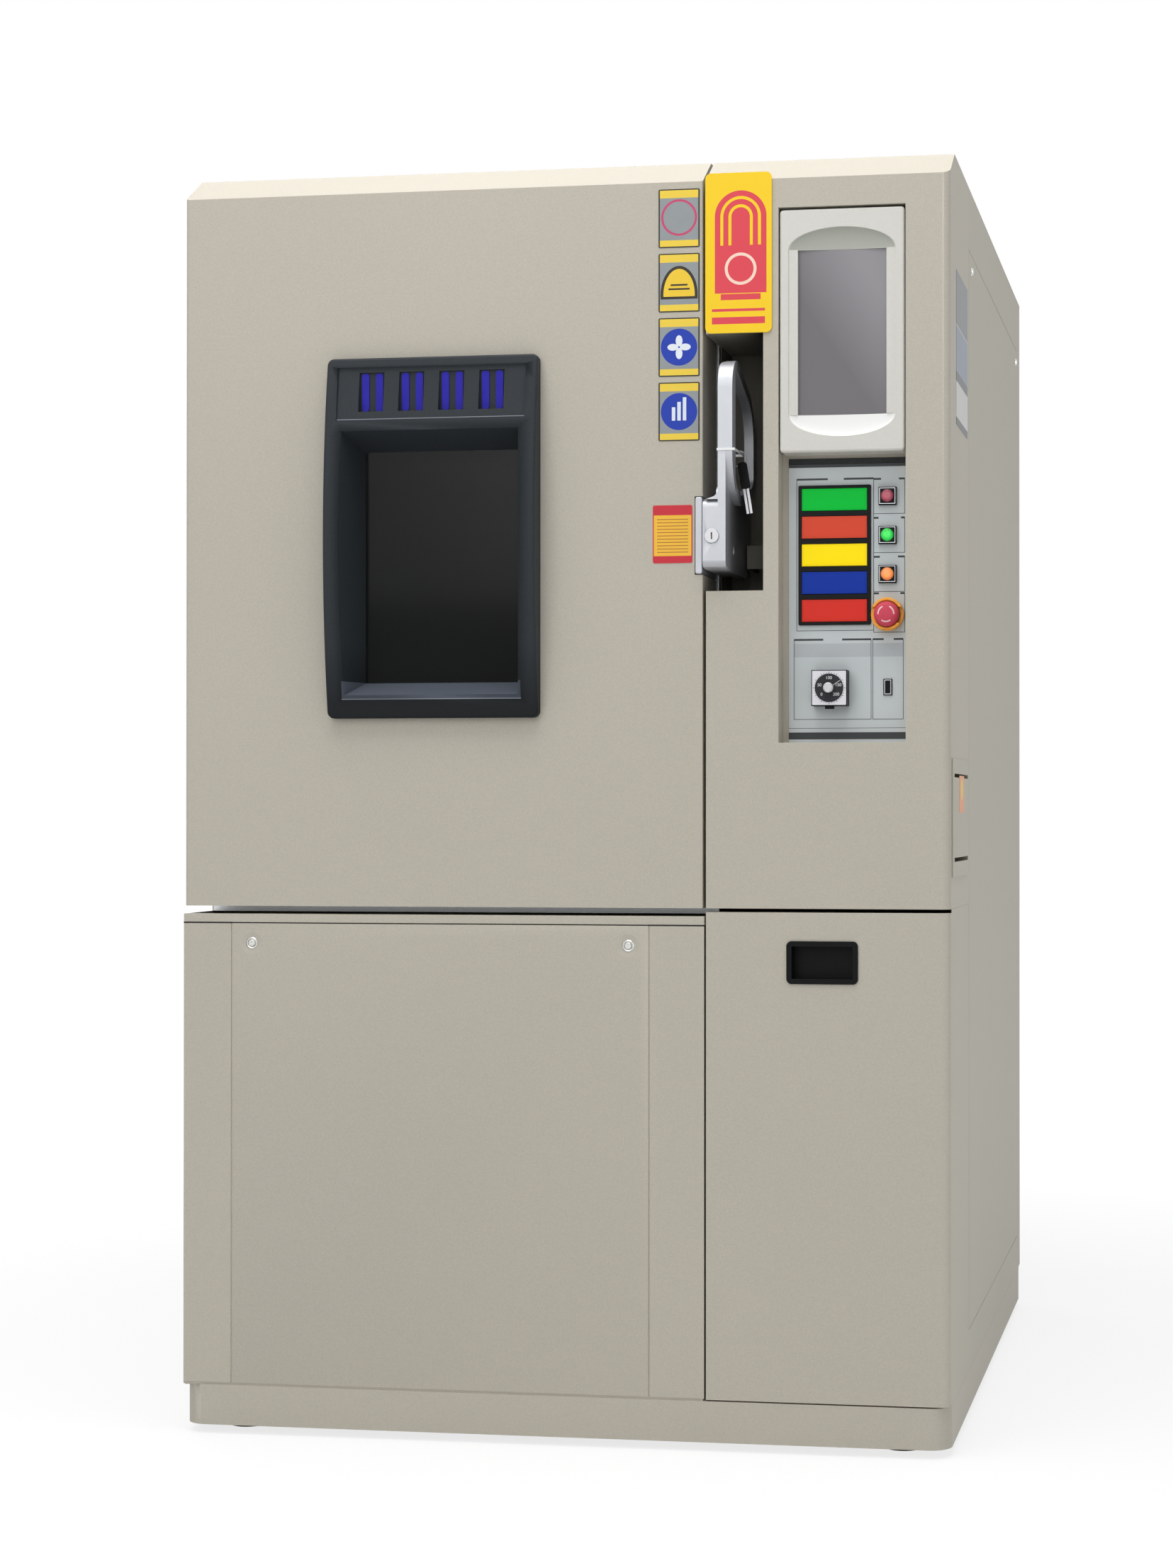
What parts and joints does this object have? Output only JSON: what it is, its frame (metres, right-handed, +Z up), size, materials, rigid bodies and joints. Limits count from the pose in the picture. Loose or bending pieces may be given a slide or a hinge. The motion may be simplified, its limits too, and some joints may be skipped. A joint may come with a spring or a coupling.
{
  "type": "environmental test chamber",
  "caption": "Floor-standing environmental test chamber: windowed door with lever latch, control column with screen, lamps and stop button, water drawer, insulated stainless test space.",
  "frame": {"origin": "on the floor, under the middle of the outer box", "axes": "+X to the viewer's right when facing the door, +Y from the door to the rear panel, +Z up"},
  "size_m": [1.08, 1.266, 1.736],
  "materials": {
    "painted_shell": "fine speckled powder coat, warm grey beige",
    "side_shell": "fine speckled powder coat, slightly greyer",
    "frame_steel": "powder coat",
    "stainless": "brushed stainless steel",
    "screw_steel": "bright zinc plate",
    "window_moulding": "finely textured charcoal moulding",
    "pane_glass": "dark heated pane",
    "bezel_plastic": "semi-gloss off-white moulding",
    "screen_face": "switched-off grey screen",
    "control_plate": "silver grey printed plate",
    "black_moulding": "black moulded plastic",
    "lamp_lens": "coloured translucent lenses",
    "alarm_red": "dull red lens",
    "light_green": "lit green lens",
    "power_orange": "lit orange lens",
    "guard_yellow": "yellow-orange moulding",
    "stop_red": "red moulding",
    "cast_silver": "satin silver die casting",
    "pocket_dark": "dark painted pocket",
    "seal_rubber": "black silicone seal",
    "foot_rubber": "black levelling feet",
    "foam": "rigid insulation foam",
    "motor_black": "black enamel",
    "coil_metal": "finned coil",
    "zinc_sheet": "zinc plated sheet",
    "fan_plastic": "black fan moulding"
  },
  "bodies": {
    "cabinet": {"cabinet_frame": "frame_steel", "levelling_feet": "foot_rubber", "left_side_panel": "painted_shell", "right_side_panel": "side_shell", "access_panel": "side_shell", "panel_screws": "screw_steel", "top_panel": "painted_shell", "rear_panel": "side_shell", "lower_front_frame": "painted_shell", "service_panel": "painted_shell", "insulation_shell": "foam", "inner_liner": "stainless", "shelves": "stainless", "air_baffle": "stainless", "fan_motor": "motor_black", "evaporator_coil": "coil_metal", "air_heater": "stainless", "cable_port": "stainless", "column_fascia": "painted_shell", "handle_pocket": "pocket_dark", "screen_bezel": "bezel_plastic", "screen_glass": "screen_face", "control_plate": "control_plate", "lamp_block": "black_moulding", "lamp_lenses": "lamp_lens", "panel_fittings": "black_moulding", "stop_guard": "guard_yellow", "limit_housing": "black_moulding", "breaker_bezel": "side_shell", "main_breaker": "black_moulding", "electrical_plate": "zinc_sheet", "compressors": "motor_black", "condenser_unit": "coil_metal", "drawer_rails": "zinc_sheet", "rear_fittings": "black_moulding", "cabinet_hinges": "screw_steel"},
    "door": {"door_skin": "painted_shell", "door_insulation": "foam", "door_inner_pan": "stainless", "door_seal": "seal_rubber", "window_frame": "window_moulding", "window_panes": "pane_glass", "door_hinges": "screw_steel", "latch_block": "cast_silver"},
    "lever": {"latch_lever": "cast_silver"},
    "lock": {"lock_cylinder": "screw_steel"},
    "keys": {"key_set": "screw_steel"},
    "alarm_key": {"alarm_button": "alarm_red"},
    "light_key": {"light_button": "light_green"},
    "power_key": {"power_button": "power_orange"},
    "stop_shaft": {"stop_stem": "black_moulding"},
    "stop_knob": {"stop_head": "stop_red"},
    "dial": {"limit_dial": "black_moulding"},
    "drawer": {"drawer_front": "painted_shell", "drawer_pull": "black_moulding", "drawer_tray": "zinc_sheet"},
    "flap": {"breaker_flap": "side_shell"},
    "toggle": {"breaker_toggle": "black_moulding"},
    "blower": {"circulation_fan": "zinc_sheet"},
    "condenser_rotor": {"condenser_fan": "fan_plastic"}
  },
  "joints": [
    {"name": "door_swing", "type": "hinge", "parent": "cabinet", "child": "door", "pos_m": [-0.5325, -0.487, 1.205], "axis": [0, 0, -1], "range_deg": [0, 110]},
    {"name": "lever_pull", "type": "hinge", "parent": "door", "child": "lever", "pos_m": [0.225, -0.559, 1.2065], "axis": [1, 0, 0], "range_deg": [0, 35]},
    {"name": "lock_turn", "type": "hinge", "parent": "lever", "child": "lock", "pos_m": [0.222, -0.619, 1.2205], "axis": [0, 1, 0], "range_deg": [0, 90]},
    {"name": "key_swing", "type": "hinge", "parent": "lever", "child": "keys", "pos_m": [0.2525, -0.56, 1.3355], "axis": [1, 0, 0], "range_deg": [-15, 15]},
    {"name": "alarm_press", "type": "slide", "parent": "cabinet", "child": "alarm_key", "axis": [0, 1, 0], "range_m": [0, 0.003], "stiffness_N_per_m": 400},
    {"name": "light_press", "type": "slide", "parent": "cabinet", "child": "light_key", "axis": [0, 1, 0], "range_m": [0, 0.003], "stiffness_N_per_m": 400},
    {"name": "power_press", "type": "slide", "parent": "cabinet", "child": "power_key", "axis": [0, 1, 0], "range_m": [0, 0.003], "stiffness_N_per_m": 400},
    {"name": "stop_press", "type": "slide", "parent": "cabinet", "child": "stop_shaft", "axis": [0, 1, 0], "range_m": [0, 0.004], "stiffness_N_per_m": 800},
    {"name": "stop_release_twist", "type": "hinge", "parent": "stop_shaft", "child": "stop_knob", "pos_m": [0.4505, -0.562, 1.1172], "axis": [0, 1, 0], "range_deg": [0, 45], "stiffness_Nm_per_rad": 0.05},
    {"name": "dial_turn", "type": "hinge", "parent": "cabinet", "child": "dial", "pos_m": [0.3745, -0.562, 1.019], "axis": [0, 1, 0], "range_deg": [0, 270]},
    {"name": "drawer_slide", "type": "slide", "parent": "cabinet", "child": "drawer", "axis": [0, -1, 0], "range_m": [0, 0.45]},
    {"name": "flap_swing", "type": "hinge", "parent": "cabinet", "child": "flap", "pos_m": [0.5325, -0.4625, 0.796], "axis": [0, 1, 0], "range_deg": [0, 95]},
    {"name": "toggle_throw", "type": "hinge", "parent": "cabinet", "child": "toggle", "pos_m": [0.5145, -0.4625, 0.846], "axis": [0, 1, 0], "range_deg": [0, 40]},
    {"name": "blower_spin", "type": "hinge", "parent": "cabinet", "child": "blower", "pos_m": [-0.1645, 0.058, 1.475], "axis": [0, 1, 0], "continuous": true},
    {"name": "condenser_fan_spin", "type": "hinge", "parent": "cabinet", "child": "condenser_rotor", "pos_m": [-0.1325, 0.4365, 0.317], "axis": [0, 1, 0], "continuous": true}
  ]
}
